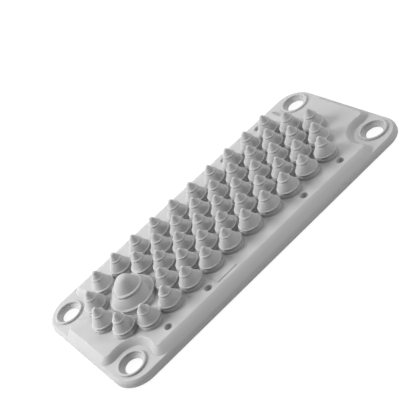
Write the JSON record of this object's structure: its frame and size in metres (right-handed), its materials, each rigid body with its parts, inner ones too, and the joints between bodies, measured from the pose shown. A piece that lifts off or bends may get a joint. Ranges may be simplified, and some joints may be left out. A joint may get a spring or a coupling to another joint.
{
  "type": "cable entry plate",
  "caption": "Flat cable entry plate in one soft moulding: a raised field of stepped conical membranes with open hollows behind, one larger cone, and a ringed screw hole at each corner.",
  "frame": {"origin": "centre of the plate's outline, in the plane of the rear rim and of the rings round the hollows", "axes": "+X along the plate towards the big cone, +Y across it, +Z out of the side with the cones"},
  "size_m": [0.14, 0.066, 0.0156],
  "materials": {
    "moulding": "matte"
  },
  "bodies": {
    "root": {"entry_plate": "moulding"}
  },
  "joints": []
}
